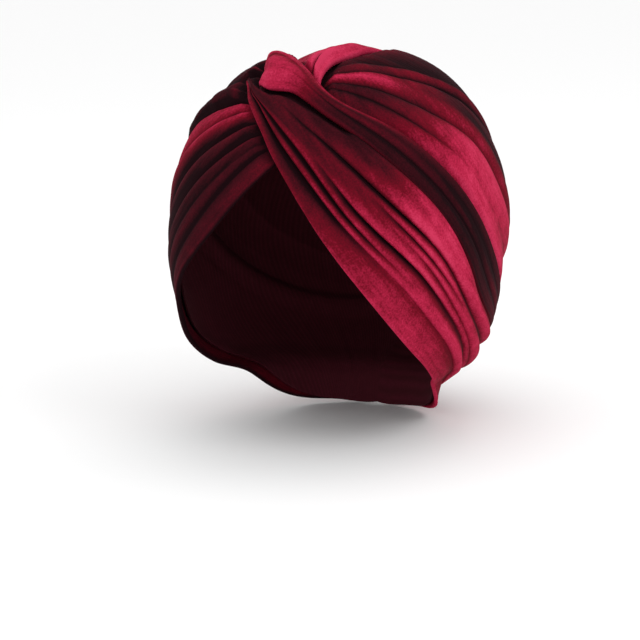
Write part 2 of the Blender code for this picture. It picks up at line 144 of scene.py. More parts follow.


# Heights and depths are in mm. angles: the crease plane at each station, or the plane and a bearing of its
# own. nape: the line's height behind the ear, or an azimuth and a height there. seam: its height on the
# centre back. top: the height of the cloth over the head form. cut: how deep the crease on this line goes.
# lip: how far the fold above the crease hangs over it, or the fold below it if negative. sharp: how narrow
# the crease is towards the line before and after it. The last column: how light the pile looks, partly its
# own lay and partly painted light and shade, such as painted shadow under the overfold and painted highlights
# on lit folds. A plain number as the top or the cut holds all along the line.
FOLDS = ("line", "angles", "nape", "seam", "top", "cut", "lip", "sharp", "nap")
LEFT_WRAP = table(FOLDS, (
    ("hem", (25, 35.5, 39.8, 42.8, 45.4, 47.0, 46.2, 45.2), -91, -91,
     (9.0, 8.8, 7.0, 6.0, 5.4, 4.8, 3.8, 4.8), 0, 0, (3, 3),
     (0.34, 0.34, 0.26, 0.42, 0.56, 0.66, 0.70, 0.35)),
    ("brow crease", (24, 33, 35.8, 38.6, 40.6, 41.6, 39.6, 38.9), -82, -82,
     (8.8, 9.0, 8.6, 7.8, 6.8, 5.8, 4.4, 5.0), (0.3, 1.8, 3.0, 2.6, 1.2, 1.2, 1.2, 1.0), 1.2, (2.2, 6),
     (0.22, 0.22, 0.18, 0.36, 0.54, 0.64, 0.56, 0.35)),
    ("second crease", (23.6, 31.6, 33.8, 36.0, 37.6, 39.6, 38.0, 37.0), -79, -79,
     (8.8, 9.0, 9.0, 8.4, 7.4, 6.1, 5.2, 5.8), (0, 1.0, 2.8, 2.8, 1.4, 0.3, 0, 0), 1.2, (3, 6),
     (0.16, 0.20, 0.20, 0.40, 0.56, 0.64, 0.70, 0.38)),
    ("long crease", (23.2, 30.8, 33.2, 34.6, 35.8, 37.2, 34.9, 34.8), -76, -75.5,
     (8.8, 9.0, 9.0, 8.8, 7.8, 6.5, 3.4, 4.2), (0, 0, 0, 2.8, 3.6, 3.6, 1.6, 1.4), 1.8, (2.0, 7),
     (0.14, 0.14, 0.26, 0.42, 0.56, 0.68, 0.54, 0.35)),
    ("thin crease", (22.8, 29.4, 31.6, 33, 34.2, 35.0, 33.0, 33.4), -72.5, -71,
     (8.7, 9.0, 9.0, 9.0, 8.0, 6.7, 5.2, 5.4), (0, 0, 0, 0, 0.2, 1.4, 1.2, 0.8), 0.6, (4, 6),
     (0.12, 0.12, 0.22, 0.38, 0.56, 0.70, 0.62, 0.35)),
    ("short crease", (22.4, 28.2, 30.2, 31.4, 32.6, 33.0, 31.4, 31.6), -69, -67,
     (8.6, 9.0, 9.2, 9.4, 8.4, 6.9, 6.0, 6.2), (0, 0, 0, 0.2, 2.4, 2.4, 0.4, 0.2), 0.8, (3, 7),
     (0.12, 0.14, 0.22, 0.40, 0.60, 0.72, 0.68, 0.38)),
    ("ear crease", (22, 26.8, 28.4, 29.8, 31.0, 30.7, 29.0, 29.6), -65, -63,
     (8.8, 9.4, 9.6, 9.8, 8.6, 7.0, 3.4, 4.4), (0, 0, 1.4, 3.4, 3.8, 3.2, 1.4, 1.2), 1.4, (2.2, 7),
     (0.12, 0.14, 0.20, 0.34, 0.60, 0.74, 0.54, 0.36)),
    ("band line", (20.6, 23.4, 24.6, 25.4, 26.4, 27.0, 26.8, 27.6), -61, -59,
     (8.6, 9.4, 9.2, 10.2, 9.0, 7.0, 5.8, 6.0), (0, 0, 0, 0, 0, 0.3, 0, 0.2), 0, (3, 3),
     (0.06, 0.12, 0.14, 0.28, 0.68, 0.84, 0.70, 0.38)),
    ("upper edge", (15, 14, 15, 18, 22.8, 23.9, 23.5, 25.8), -57, -55,
     (8.0, 9.0, 8.4, 9.4, 8.8, 6.6, 4.6, 4.8), 0, 0, (3, 3),
     (0.0, 0.04, 0.06, 0.34, 0.72, 0.82, 0.62, 0.35)),
))
OVERFOLD = table(FOLDS, (
    ("lower edge", ((23.4, 189), 25.2, 21.6, 23.0, 24.2, 23.5, 23.1, 25.3), -57.5, -55.5,
     (10.4, 11.0, 11.0, 10.6, 9.6, 6.2, 4.0, 5.2), 0, 0, (3, 3),
     (0.74, 0.72, 0.50, 0.22, 0.10, 0.05, 0.02, 0.2)),
    ("middle", ((14, 188), (15.5, 183), 16.6, 19.6, 20.8, 19.6, 19.4, 21.2), -54.5, -53,
     (13.0, 15.4, 15.4, 12.8, 10.0, 6.8, 4.2, 5.8), (0, 0, 0.3, 0.5, 1.2, 1.4, 1.2, 0.6), -0.6, (4, 4),
     (0.66, 0.64, 0.58, 0.28, 0.16, 0.10, 0.10, 0.3)),
    ("dent", ((3, 188.5), (2, 182.5), 9.5, 17.0, 18.8, 17.2, 16.8, 18), -51.5, -50,
     (13.4, 16.6, 15.2, 12.6, 9.8, 7.0, 4.2, 5.8), (2.2, 1.8, 0.8, 0, 0, 0, 0.6, 0.6), 0, (3, 3),
     (0.60, 0.66, 0.66, 0.32, 0.14, 0.06, 0.03, 0.25)),
    ("upper edge", ((-6, 186), (-13, 180), (2.5, 174.5), 13.2, 17.2, 14.8, 14, 15), -47, -46,
     (11.0, 13.2, 12.6, 11.0, 8.8, 6.6, 4.0, 5.2), 0, 0, (3, 3),
     (0.76, 0.80, 0.76, 0.66, 0.56, 0.30, 0.04, 0.2)),
))
RIGHT_WRAP = table(FOLDS, (
    ("hem", (46.5, 47.5, 48.8, 47.8, 43.8, 44.5), -91, -91,
     (4.8, 4.8, 4.4, 4.8, 4.8, 4.8), 0, 0, (3, 3), (0.28, 0.26, 0.18, 0.12, 0.25, 0.3)),
    ("brow crease", (42.8, 42.6, 42.3, 43.0, 40.6, 40.5), -82, -82,
     (5.2, 5.4, 5.2, 5.0, 5.4, 5.6), (1.6, 1.4, 0.8, 1.0, 2.0, 1.2), -0.8, (4, 3),
     (0.22, 0.18, 0.10, 0.10, 0.3, 0.3)),
    ("soft crease", (39.6, 39.4, 39, 38.6, 37, 37.2), -76, -75,
     (5.4, 5.6, 5.6, 5.2, 5.6, 5.8), (0.3, 0.4, 0.6, 0.8, 1.8, 1.4), -0.6, (4, 3),
     (0.18, 0.14, 0.08, 0.08, 0.3, 0.3)),
    ("third pleat", (36.4, 35.8, 35.0, 34.4, 33.4, 33.4), -70, -69,
     (5.4, 5.8, 5.8, 5.4, 5.8, 6.0), (1.2, 1.8, 1.6, 1.4, 2.0, 1.6), -1.0, (6, 2.6),
     (0.20, 0.14, 0.07, 0.08, 0.3, 0.35)),
    ("second pleat", (32.1, 30.8, 29.2, 28.2, 28.4, 29), -63, -62,
     (5.4, 5.8, 6.4, 5.6, 6.0, 6.0), (1.8, 2.8, 3.0, 2.2, 2.2, 1.6), -1.2, (6, 2.4),
     (0.16, 0.12, 0.10, 0.3, 0.3, 0.35)),
    ("bright pleat", (26.8, 25.2, 22.4, 20.6, 21.0, 22.4), -55, -54,
     (5.6, 6.2, 7.8, 6.6, 6.0, 5.8), (1.4, 1.8, 2.2, 2.0, 2.0, 1.4), -0.8, (6, 3),
     (0.60, 0.66, 0.72, 0.70, 0.4, 0.35)),
    ("upper edge", (23.8, 21.8, 18.2, 13.6, 14.2, 16), -47, -46,
     (4.8, 5.4, 7.2, 6.4, 5.8, 5.2), 0, 0, (3, 3), (0.50, 0.54, 0.60, 0.62, 0.4, 0.3)),
))
RIM_NAP_AND_PAINTED_LIGHT = (0.1, 0.1, 0.1, 0.1, 0.1, 0.1, 0.2)
RIM = ("rim", (42, 42, 41, 42.5), -93, -94, 1.6, 0, 0, (3, 3), RIM_NAP_AND_PAINTED_LIGHT)
NAPE_BEND = ("nape bend", (31, 32, 32, 33), -73.5, -73.5, 1.6, 0, 0, (3, 3), RIM_NAP_AND_PAINTED_LIGHT)
CROWN_LEFT = table(FOLDS, (
    RIM,
    NAPE_BEND,
    ("band edge", (15, 12.6, 12.4, 13.6), -45.5, -45,
     (6.0, 5.6, 5.2, 5.0, 3.6, 3.5, 3.4), 0, 0, (3, 3),
     (0.20, 0.20, 0.34, 0.62, 0.74, 0.60, 0.35)),
    ("crescent line", (10.4, 9.5, 8.8, 6.6), (150, -32), -43.5,
     (6.6, 7.4, 8.0, 8.8, 4.4, 2.8, 3.6), (0.2, 1.0, 1.4, 0.8, 0.4, 0.4, 0.2), 0.3, (5, 7),
     (0.10, 0.10, 0.26, 0.68, 0.72, 0.60, 0.4)),
    ("crescent edge", (5.6, 1.4, -1.8, -0.8), (152, -25), -41,
     (7.0, 8.0, 8.4, 9.8, 7.0, 6.8, 4.6), (0.6, 2.0, 2.8, 4.0, 3.6, 2.4, 0.8), -0.9, (6, 2.4),
     (0.20, 0.10, 0.34, 0.74, 0.72, 0.56, 0.3)),
    ("broad fold", (1.6, -4.0, -7, -7.4), (155, -17), -40,
     (7.4, 8.8, 9.0, 9.6, 7.2, 7.0, 4.8), (0, 0, 0, 0, 0.4, 0.6, 0.8), 0, (3, 3),
     (0.74, 0.80, 0.42, 0.08, 0.04, 0.14, 0.25)),
    ("second fold", (-1, -9.5, -15, -18), (158, -8), -39.5,
     (7.0, 9.2, 10.2, 10.2, 7.8, 6.8, 4.6), (0.4, 1.6, 2.4, 2.4, 2.2, 1.4, 0.8), -0.8, (7, 3),
     (0.16, 0.26, 0.24, 0.10, 0.04, 0.12, 0.25)),
    ("first fold", (-7, -13, -19, -24), (160, -1), -38,
     (7.0, 9.4, 11.4, 12.2, 9.6, 7.4, 4.6), (0.2, 1.4, 2.0, 2.0, 1.8, 1.2, 0.8), -0.7, (7, 3),
     (0.12, 0.16, 0.16, 0.08, 0.03, 0.10, 0.25)),
))
CROWN_RIGHT = table(FOLDS, (
    ("first fold", (-7, -13, -19, -24), (160, -1), -38,
     (7.0, 10.4, 12.2, 12.4, 10.8, 7.6, 4.6), (0.3, 0.5, 0.6, 0.6, 0.6, 1.0, 0.8), 0.4, (4, 4),
     (0.06, 0.06, 0.05, 0.04, 0.08, 0.14, 0.25)),
    ("second fold", (-1, -9, -14, -17), (158, -8), -39.5,
     (7.0, 10.6, 12.0, 11.6, 10.2, 7.6, 4.6), (0.3, 0.6, 0.8, 0.8, 1.0, 1.2, 0.8), 0.4, (4, 4),
     (0.08, 0.12, 0.08, 0.06, 0.08, 0.16, 0.25)),
    ("broad fold", (1.6, -4.0, -9, -12), (156, -15), -40,
     (7.0, 9.8, 10.8, 11.0, 10.0, 7.4, 4.5), (0, 0, 0, 0, 0.4, 0.8, 0.8), 0.3, (4, 4),
     (0.08, 0.12, 0.08, 0.06, 0.10, 0.2, 0.25)),
    ("crescent edge", (5.6, 2.3, -0.4, 0.2), (152, -25), -41,
     (7.0, 8.8, 9.6, 10.4, 9.6, 6.8, 4.4), (0.3, 0.6, 1.0, 1.2, 1.8, 1.8, 0.8), 0.6, (3, 5),
     (0.08, 0.10, 0.08, 0.06, 0.12, 0.3, 0.3)),
    ("crescent line", (10.4, 9.5, 9.2, 9.6), (150, -37), -43.5,
     (6.6, 9.4, 10.6, 10.2, 8.0, 5.6, 3.8), (0, 0, 0, 0, 0.4, 0.4, 0.2), 0, (4, 4),
     (0.06, 0.06, 0.06, 0.06, 0.16, 0.3, 0.3)),
    ("band edge", (15, 12.6, 12.4, 13.6), -45.5, -45,
     (6.0, 5.8, 5.8, 5.6, 4.8, 4.0, 3.4), 0, 0, (3, 3), (0.04, 0.04, 0.04, 0.04, 0.1, 0.2, 0.3)),
    NAPE_BEND,
    RIM,
))
# The crown's middle line: azimuth and elevation at the crown stations and behind the crown.
MIDLINE = dict(
    places=((0, 84), (180, 62), (180, 38), (180, 16), (180, -8)), seam=-36,
    top=(7.0, 9.4, 11.6, 12.9, 11.0, 7.8, 4.8), cut=(0, 0, 0, 0, 0.4, 1.0, 0.2), lip=0, sharp=(3, 3),
    nap=(0.12, 0.16, 0.12, 0.08, 0.06, 0.12, 0.25),
)
KNOT = (4, 62)  # azimuth and elevation of the point under the twist where the crown's folds start
KNOT_RADIUS = 5 * MM
KNOT_OPENING = 80  # degrees of the arc around it that stay open, towards the forehead

# The loop behind the twist. places: azimuth and elevation, from under the twist over the crown to the back.
LOOP = ("line", "places", "seam", "top", "cut", "lip", "sharp", "nap")
REAR_LOOP = table(LOOP, (
    ("left edge",
     ((15, 60), (16, 67), (22, 74.5), (62, 82), (150, 75), (165, 53), (172, 25), (176, -2)),
     -37, (7.0, 8.6, 9.2, 10.4, 11.0, 6.4), 0, 0, (3, 3), (0.72, 0.78, 0.74, 0.6, 0.4, 0.3)),
    ("big ridge",
     ((10, 60.5), (11, 68.5), (15, 77), (90, 86.5), (168, 74), (173, 51), (176, 22), (179, -3)),
     -38, (8.0, 12.2, 12.4, 11.0, 11.8, 6.8), (0, 0, 0.2, 0.6, 0.8, 0.6), 0, (3, 3),
     (0.78, 0.86, 0.80, 0.62, 0.42, 0.3)),
    ("first crease",
     ((5, 61), (7, 70), (10, 79), (172, 87), (178, 70), (-176, 48), (-176, 20), (-177, -4)),
     -39, (8.0, 12.0, 11.4, 11.0, 11.8, 7.0), (1.2, 4.4, 6.0, 3.0, 1.8, 0.8), 0.6, (2.2, 3.4),
     (0.66, 0.80, 0.78, 0.5, 0.35, 0.3)),
    ("second crease",
     ((1, 61), (0, 69.5), (-6, 77.5), (-100, 86), (-152, 67), (-162, 44), (-167, 17), (-170, -5)),
     -41, (8.0, 11.2, 9.6, 10.6, 11.6, 6.8), (0.2, 0.6, 0.8, 1.4, 1.6, 0.8), -0.5, (3, 3),
     (0.78, 0.92, 0.86, 0.45, 0.35, 0.3)),
    ("right edge",
     ((-3, 60), (-3, 67), (-9, 75), (-60, 80), (-124, 57), (-143, 35), (-156, 10), (-163, -8)),
     -44, (6.6, 8.6, 5.2, 8.0, 10.6, 6.4), 0, 0, (3, 3), (0.80, 0.92, 0.82, 0.4, 0.35, 0.3)),
))
# The rolled lower and upper edges in mm: the fold's radii at the piece's own places, and the width turned in.
ROLLS = dict(
    left_wrap=(
        (2.2, 2.0, 1.6, 1.6, 1.6, 1.5, 1.4, 1.3), 9.0,
        (1.2, 1.2, 1.6, 2.0, 2.0, 1.8, 1.4, 1.2), 3.0),
    twist_overfold=(
        (1.4, 2.0, 2.3, 2.2, 1.6, 1.2, 1.1, 1.1), 3.0,
        (1.6, 2.4, 2.4, 2.0, 1.3, 1.1, 1.1, 1.1), 3.0),
    right_wrap=((1.2, 1.2, 1.3, 1.4, 1.4, 1.3), 9.0, (1.2, 1.4, 1.6, 1.6, 1.4, 1.2), 3.0),
    rear_loop=((1.6, 2.2, 2.2, 2.0, 1.6, 1.3), 3.0, (1.4, 1.8, 2.0, 2.0, 1.6, 1.3), 3.0),
)


class TurbanCloth(bpy.types.PropertyGroup):
    """The velvet and how closely it is laid."""

    thickness: bpy.props.FloatProperty(
        name="Cloth", description="Thickness of one layer of velvet", default=0.9 * MM, unit="LENGTH")
    room: bpy.props.FloatProperty(
        name="Room", description="Air left between two layers that lie on each other", default=0.35 * MM,
        unit="LENGTH")
    spacing: bpy.props.FloatProperty(
        name="Mesh spacing", description="Distance between two points across a length of cloth",
        default=0.85 * MM, unit="LENGTH")
    wrinkle: bpy.props.FloatProperty(
        name="Wrinkle height", description="Height of the fine wrinkles that run along the folds",
        default=0.38 * MM, unit="LENGTH")
    wrinkle_width: bpy.props.FloatProperty(
        name="Wrinkle width", description="Distance from one fine wrinkle to the next", default=5.0 * MM,
        unit="LENGTH")
    seam_gap: bpy.props.FloatProperty(
        name="Half seam gap", description="From the centre back to the sewn end of a length of cloth",
        default=0.2 * MM, unit="LENGTH")
    # Painted shade: the pile's colour is darkened in creases and where other cloth presses it.
    shade: bpy.props.FloatProperty(
        name="Crease shade", description="How much darker the pile looks per millimetre of crease",
        default=0.12)
    # Painted light and shade on slopes: lighter on slopes that face one edge of the cloth, darker on the
    # others.
    slope_painted_light: bpy.props.FloatProperty(
        name="Pile lean", description="How much lighter the pile looks on a slope of one in one",
        default=0.26)
    # Painted highlight on ridges and painted shade in hollows.
    crest_painted_light: bpy.props.FloatProperty(
        name="Crest", description="How much lighter the pile looks per millimetre that a ridge stands up",
        default=0.16)


class TurbanColours(bpy.types.PropertyGroup):
    """The colours of the velvet, from painted shade in its deepest creases to painted light on the lit pile,
    and of the rest.
    """

    deep: bpy.props.StringProperty(name="Deep", description="Pile that faces away", default="#17060A")
    maroon: bpy.props.StringProperty(name="Maroon", description="Pile in shade", default="#3C0A14")
    crimson: bpy.props.StringProperty(name="Crimson", description="Plain pile", default="#6A0B1D")
    raspberry: bpy.props.StringProperty(name="Raspberry", description="Lit pile", default="#AA2040")
    rose: bpy.props.StringProperty(name="Rose", description="Fully lit pile", default="#C23254")
    sheen: bpy.props.StringProperty(name="Sheen", description="Ends of the pile", default="#B02A4E")
    backing: bpy.props.StringProperty(name="Backing", description="Back of the velvet", default="#4E1020")
    floor: bpy.props.StringProperty(name="Floor", description="Studio floor", default="#FAFAFA")


class TurbanStage(bpy.types.PropertyGroup):
    """The camera and the studio light."""

    azimuth: bpy.props.FloatProperty(
        name="Azimuth", description="Camera, from the front towards the wearer's left",
        default=math.radians(25), subtype="ANGLE")
    elevation: bpy.props.FloatProperty(
        name="Elevation", description="Camera, above the floor", default=math.radians(10), subtype="ANGLE")
    roll: bpy.props.FloatProperty(
        name="Roll", description="Camera, about its line of sight", default=math.radians(1), subtype="ANGLE")
    distance: bpy.props.FloatProperty(
        name="Distance", description="Camera, from the middle of the head form", default=1.3, unit="LENGTH")
    lens: bpy.props.FloatProperty(
        name="Lens", description="Focal length in millimetres", default=144, unit="CAMERA")
    shift: bpy.props.FloatVectorProperty(
        name="Shift", description="Camera, aimed right and up by these shares of the picture", size=2,
        default=(-0.027, -0.125))
    key: bpy.props.FloatProperty(
        name="Key light", description="Power of the main light", default=3.8, unit="POWER")
    fill: bpy.props.FloatProperty(
        name="Fill light", description="Power of the fill light", default=0.9, unit="POWER")
    top: bpy.props.FloatProperty(
        name="Top light", description="Power of the top light", default=1.4, unit="POWER")
    air: bpy.props.FloatProperty(
        name="Air light", description="Strength of the light from all round", default=1.0)


# ----------------------------------------------------------------------
# The head form and the crease lines


def curve_through(places, values, at):
    """A smooth curve through values at places, read at the places in at. Values may be numbers or vectors."""
    places = np.asarray(places, float)
    values = np.asarray(values, float)
    slopes = np.gradient(values, places, axis=0)
    piece = np.clip(np.searchsorted(places, at, side="right") - 1, 0, len(places) - 2)
    span = places[piece + 1] - places[piece]
    t = (at - places[piece]) / span
    if values.ndim > 1:
        t = t[..., None]
        span = span[..., None]
    return (
        (2 * t**3 - 3 * t**2 + 1) * values[piece]
        + (t**3 - 2 * t**2 + t) * span * slopes[piece]
        + (3 * t**2 - 2 * t**3) * values[piece + 1]
        + (t**3 - t**2) * span * slopes[piece + 1]
    )


def smooth_step(low, high, value):
    """0 up to low and 1 from high on, with a smooth step between them."""
    t = np.clip((value - low) / (high - low), 0, 1)
    return t * t * (3 - 2 * t)


def direction(azimuth, elevation):
    """The unit vector at an azimuth from the front towards the wearer's left and an elevation, in degrees."""
    azimuth, elevation = np.radians(azimuth), np.radians(elevation)
    return np.stack(
        np.broadcast_arrays(
            np.sin(azimuth) * np.cos(elevation), -np.cos(azimuth) * np.cos(elevation), np.sin(elevation)
        ),
        axis=-1,
    )


def unit(vectors):
    """The vectors at length one."""
    return vectors / np.maximum(np.linalg.norm(vectors, axis=-1, keepdims=True), 1e-12)


def head_radius(towards):
    """How far the head form's surface lies from its middle, for unit vectors."""
    elevation = np.degrees(np.arcsin(np.clip(towards[..., 2], -1, 1)))
    across, ahead = towards[..., 0], towards[..., 1]
    level = np.maximum(np.hypot(across, ahead), 1e-9)
    across, ahead = np.abs(across) / level, ahead / level
    rows = np.array(HEAD_FORM)
    front, side, back = (curve_through(rows[:, 0], rows[:, i], elevation) for i in (1, 2, 3))
    length = np.where(ahead < 0, front, back)
    ahead = np.abs(ahead)
    power = HEAD_SQUARENESS
    squared = ((across / side) ** power + (ahead / length) ** power) ** (-1 / power)
    plain = ((across / side) ** 2 + (ahead / length) ** 2) ** -0.5
    share = smooth_step(ROUND_FROM, ROUND_TO, elevation)
    return squared + (plain - squared) * share


def halve(low, high, is_below):
    """The value between low and high up to which is_below holds."""
    for _ in range(HALVINGS):
        middle = (low + high) / 2
        if is_below(middle):
            low = middle
        else:
            high = middle
    return low


def on_crease_plane(angle, bearing, side):
    """The direction, from the middle of the head form, of a bearing on the crease plane at an angle."""
    along = unit(AXIS_LOW - AXIS_TOP)
    middle = (AXIS_TOP + AXIS_LOW) / 2
    first = unit(np.array((1.0, 0.0, 0.0)) - along * along[0])
    second = np.cross(along, first)
    angle, bearing = np.radians(angle), np.radians(bearing)
    outward = math.cos(angle) * first + math.sin(angle) * second
    normal = np.cross(along, outward)
    start = normal * (normal @ middle)
    ray = math.cos(bearing) * along + math.sin(bearing) * outward

    def is_inside(reach):
        point = start + reach * ray
        return np.linalg.norm(point) < head_radius(unit(point)) + READ_AT

    return unit(start + halve(0.0, 0.25, is_inside) * ray) * np.array((side, 1, 1))


def at_height(azimuth, height, side):
    """The direction of the head form's point at an azimuth on one side and a height in mm from its middle."""

    def is_lower(elevation):
        towards = direction(side * azimuth, elevation)
        return head_radius(towards) * towards[2] < height * MM

    return direction(side * azimuth, halve(-75.0, 60.0, is_lower))


def on_centre_back(height, offset):
    """The direction of the end of a line on the centre back, an offset to the wearer's left of it."""
    towards = at_height(180, height, 1)
    towards[0] = offset / head_radius(towards)
    return unit(towards)


def in_between(values, count):
    """The first count values with two more read smoothly between each pair of them."""
    at = np.linspace(0, count - 1, 3 * count - 2)
    return curve_through(np.arange(count), values[:count], at)


def crease_line(row, stations, side, offset):
    """The directions of a crease line at its stations and between them, and last on the centre back."""
    count = len(row["angles"])
    points = [
        (angle, bearing) if np.isscalar(angle) else angle
        for angle, bearing in zip(row["angles"], stations.values())
    ]
    angles, bearings = in_between(np.array(points, float), count).T
    nape = (AZIMUTH_OF_NAPE, row["nape"]) if np.isscalar(row["nape"]) else row["nape"]
    return (
        [on_crease_plane(angle, bearing, side) for angle, bearing in zip(angles, bearings)]
        + [at_height(*nape, side)]
        + [on_centre_back(row["seam"], side * offset)]
    )


def crease_places(stations, places):
    """The places along a crease line of all the directions that crease_line gives."""
    count = len(stations)
    return np.concatenate([in_between(places, count), places[count:]])


def around_knot(place):
    """A point of the arc under the twist where the crown's folds start: 0 is its left end and 1 its right."""
    middle = direction(*KNOT)
    left = np.cross(np.array((0.0, 0.0, 1.0)), middle)
    left = -unit(left) if left[0] < 0 else unit(left)
    back = np.cross(middle, left)
    back = -back if back[1] < 0 else back
    start = (KNOT_OPENING - 180) / 2
    turn = math.radians(start + (360 - KNOT_OPENING) * place)
    return unit(middle + (math.cos(turn) * left + math.sin(turn) * back) * KNOT_RADIUS / SEAT_HEIGHT)


# ----------------------------------------------------------------------
# Laying a length of cloth


def grain(u, v, seed):
    """Smooth noise between -1 and 1 over a plane, the same on every run."""
    whole_u, whole_v = np.floor(u), np.floor(v)
    part_u, part_v = smooth_step(0, 1, u - whole_u), smooth_step(0, 1, v - whole_v)

    def corner(a, b):
        # Large uneven factors scatter the whole numbers between -1 and 1.
        mixed = np.sin(a * 127.1 + b * 311.7 + seed * 74.7) * 43758.5453
        return 2 * (mixed - np.floor(mixed)) - 1

    low = corner(whole_u, whole_v) * (1 - part_u) + corner(whole_u + 1, whole_v) * part_u
    high = corner(whole_u, whole_v + 1) * (1 - part_u) + corner(whole_u + 1, whole_v + 1) * part_u
    return low * (1 - part_v) + high * part_v


class Cloth:
    """A length of cloth as a grid of points: rows from its lower edge up, and columns along the folds."""

    def __init__(self, rows, lines, places, read_at, along, spacing, even=False):
        v = np.linspace(0, 1, along + 1)
        paths = unit(np.array([curve_through(places, np.array(line), v) for line in lines]))
        count = len(lines)
        reading = {}
        for key in ("top", "cut", "nap"):
            values = [np.broadcast_to(row[key], len(read_at)) for row in rows]
            reading[key] = np.array([curve_through(read_at, each, v) for each in values])
        widths = np.linalg.norm(np.diff(paths, axis=0), axis=-1) * CLOTH_RADIUS
        steps = [max(LEAST_ROWS, round(float(width.mean()) / spacing)) for width in widths]
        if even:
            steps = [max(a, b) for a, b in zip(steps, steps[::-1])]
        # The rows stand closest beside the crease lines.
        line, share = [], []
        for i, number in enumerate(steps):
            t = np.arange(number + (i == len(steps) - 1)) / number
            line += [i] * len(t)
            share += list(0.5 * t + 0.25 * (1 - np.cos(math.pi * t)))
        line, s = np.array(line), np.array(share)[:, None]
        self.v = v
        self.towards = unit(paths[line] * (1 - s)[..., None] + paths[line + 1] * s[..., None])
        edges = np.concatenate([np.zeros((1, along + 1)), np.cumsum(widths, axis=0)])
        self.x = edges[line] * (1 - s) + edges[line + 1] * s
        run = np.linalg.norm(np.diff(self.towards[len(line) // 2], axis=0), axis=-1) * CLOTH_RADIUS
        self.y = np.broadcast_to(np.concatenate([[0], np.cumsum(run)]), self.x.shape)
        top = curve_through(np.arange(count), reading["top"], line + s[:, 0]) * MM
        before, after = (np.array([row["sharp"][i] for row in rows], float) for i in (0, 1))
        below = reading["cut"][line] * MM * (1 - s) ** after[line][:, None]
        above = reading["cut"][line + 1] * MM * s ** before[line + 1][:, None]
        self.depth = below + above
        self.lift = top - self.depth
        self.nap = reading["nap"][line] * (1 - s) + reading["nap"][line + 1] * s
        lips = np.array([row["lip"] for row in rows], float) * MM
        strength = reading["cut"] / np.maximum(reading["cut"].max(axis=1, keepdims=True), 0.01)
        width = widths[line]
        over, under = s * width / LIP_REACH, (1 - s) * width / LIP_REACH
        fade = np.minimum(1, width / LIP_ROOM)
        self.shift = -(np.maximum(lips, 0)[:, None] * strength)[line] * over * np.exp(1 - over) * fade
        self.shift += (np.maximum(-lips, 0)[:, None] * strength)[line + 1] * under * np.exp(1 - under) * fade

    def wrinkle(self, height, width, seed, ends):
        """Fine wrinkles along the folds and broad waves. The wrinkles have their full height at the twist,
        fall to the first of ends along the run, and gain the second of ends at the far end."""
        gather = ends[0] + (1 - ends[0]) * np.exp(-self.v / 0.10) + ends[1] * smooth_step(0.75, 1, self.v)
        fine = grain(self.x / width, self.y / (WRINKLE_LENGTH * width), seed) + 0.5 * grain(
            self.x / width * 2.1, self.y / (NARROW_LENGTH * width), seed + 3)
        broad = grain(self.x / (WAVE_WIDTH * width), self.y / (WAVE_LENGTH * width), seed + 7)
        self.lift = self.lift + height * (fine * gather + 0.8 * broad)
        # The pile is painted lighter on the wrinkles' crests and darker in their hollows: painted light and
        # shade.
        self.nap = self.nap + 0.035 * fine + 0.04 * broad

    def place(self):
        """Points of the cloth from its directions and heights, with the lips of the folds pulled over."""
        self.points = self.towards * (head_radius(self.towards) + self.lift)[..., None] + MIDDLE
        aside = np.gradient(self.points, axis=0)
        self.aside = unit(aside - self.towards * (aside * self.towards).sum(-1, keepdims=True))
        self.points = self.points + self.aside * self.shift[..., None]

    def draw_in(self, low, high):
        """Pulls the edges in by the radii of their rolls, so that the rolls end on the lines."""
        for radii, edge, sign in ((low, 0, 1), (high, -1, -1)):
            off = np.abs(self.x - self.x[edge])
            pull = radii * np.maximum(0, 1 - off / np.maximum(3 * radii, 1e-6))
            self.points = self.points + self.aside * (sign * pull)[..., None]

    def round_end(self, reach, least):
        """Bends the cloth down at its start, in a round fold."""
        share = np.clip(self.y / reach, 0, 1)
        dome = np.sqrt(1 - (1 - share) ** 2)
        self.lift = least + (self.lift - least) * dome

    def sink_end(self, reach, depth):
        """Draws the cloth down into the seam at its far end."""
        off = self.y[:, -1:] - self.y
        self.lift = self.lift - depth * np.exp(-off / reach)

    def press(self, covers, room, least):
        """Keeps the points under the covers that are laid over them."""
        relative = self.points - MIDDLE
        radius = np.linalg.norm(relative, axis=-1)
        towards = relative / radius[..., None]
        flat = towards.reshape(-1, 3)
        east = unit(np.stack([-flat[:, 1], flat[:, 0], np.zeros(len(flat))], axis=-1))
        north = np.cross(flat, east)
        limit = np.full(len(flat), NO_COVER)
        middle = Vector(MIDDLE)
        turns = [(0.0, 0.0)] + [(math.cos(t), math.sin(t)) for t in np.radians(np.arange(0, 360, 60))]
        for cover in covers:
            tree = BVHTree.FromPolygons(cover["points"], cover["faces"])
            for a, b in turns:
                aim = unit(flat + (a * east + b * north) * PRESS_REACH / SEAT_HEIGHT)
                for i, ray in enumerate(aim.tolist()):
                    distance = tree.ray_cast(middle, ray)[3]
                    if distance is not None and distance - room < limit[i]:
                        limit[i] = distance - room
        limit = limit.reshape(radius.shape)
        beside = np.where(limit < NO_COVER, near(limit, 1, np.min), near(limit, 2, np.min))
        pressed = np.minimum(radius, beside)
        eased = radius - near(radius - pressed, 2, np.mean)
        pressed = np.maximum(np.minimum(eased, limit), head_radius(towards) + least)
        self.points = towards * pressed[..., None] + MIDDLE
        self.pressed = radius - pressed

